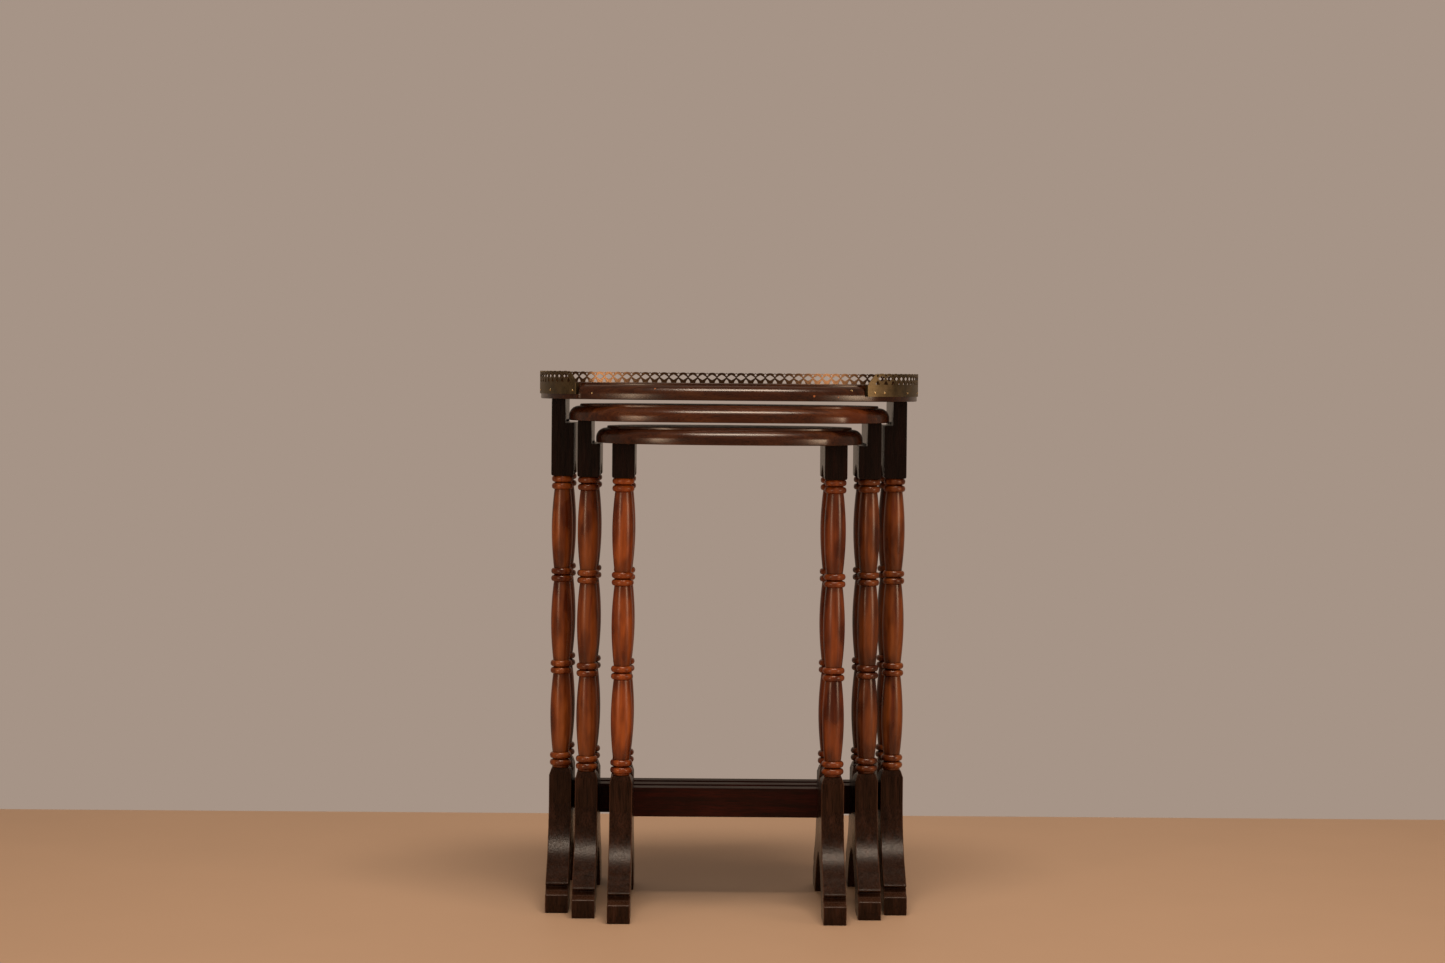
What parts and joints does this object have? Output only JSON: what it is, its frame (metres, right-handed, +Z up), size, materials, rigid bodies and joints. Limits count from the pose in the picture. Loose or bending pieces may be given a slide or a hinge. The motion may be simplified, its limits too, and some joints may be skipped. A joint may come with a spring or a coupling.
{
  "type": "nesting tables",
  "caption": "Nest of shaped-top occasional tables on turned spindle legs and trestle feet, sliding one inside the other, with a pierced brass gallery.",
  "frame": {"origin": "on the floor, at the middle of the nest's bounding box with all tables pushed in", "axes": "+Z up, +X to the right of a person facing the nest, the smaller tables slide out towards -Y"},
  "size_m": [0.4056, 0.3406, 0.5605],
  "materials": {
    "polished_mahogany": "french-polished red-brown mahogany, glossy",
    "dark_wood": "near-black brown stained hardwood, satin polish",
    "turned_wood": "amber-brown stained beech, lacquered, glossy",
    "aged_brass": "aged, darkened brass",
    "screw_steel": "plain steel wood screws"
  },
  "bodies": {
    "large_table": {"large_left_foot": "dark_wood", "large_left_front_spindle": "turned_wood", "large_left_rail": "dark_wood", "large_left_rear_spindle": "turned_wood", "large_right_foot": "dark_wood", "large_right_front_spindle": "turned_wood", "large_right_rail": "dark_wood", "large_right_rear_spindle": "turned_wood", "large_stretcher": "dark_wood", "large_top": "polished_mahogany", "large_top_screws": "screw_steel", "gallery": "aged_brass", "gallery_pins": "aged_brass", "front_nails": "aged_brass"},
    "medium_table": {"medium_left_foot": "dark_wood", "medium_left_front_spindle": "turned_wood", "medium_left_rail": "dark_wood", "medium_left_rear_spindle": "turned_wood", "medium_right_foot": "dark_wood", "medium_right_front_spindle": "turned_wood", "medium_right_rail": "dark_wood", "medium_right_rear_spindle": "turned_wood", "medium_stretcher": "dark_wood", "medium_top": "polished_mahogany", "medium_top_screws": "screw_steel"},
    "small_table": {"small_left_foot": "dark_wood", "small_left_front_spindle": "turned_wood", "small_left_rail": "dark_wood", "small_left_rear_spindle": "turned_wood", "small_right_foot": "dark_wood", "small_right_front_spindle": "turned_wood", "small_right_rail": "dark_wood", "small_right_rear_spindle": "turned_wood", "small_stretcher": "dark_wood", "small_top": "polished_mahogany", "small_top_screws": "screw_steel"}
  },
  "joints": [
    {"name": "medium_slide", "type": "slide", "parent": "large_table", "child": "medium_table", "axis": [0, -1, 0], "range_m": [0, 0.3]},
    {"name": "small_slide", "type": "slide", "parent": "medium_table", "child": "small_table", "axis": [0, -1, 0], "range_m": [0, 0.3]}
  ]
}
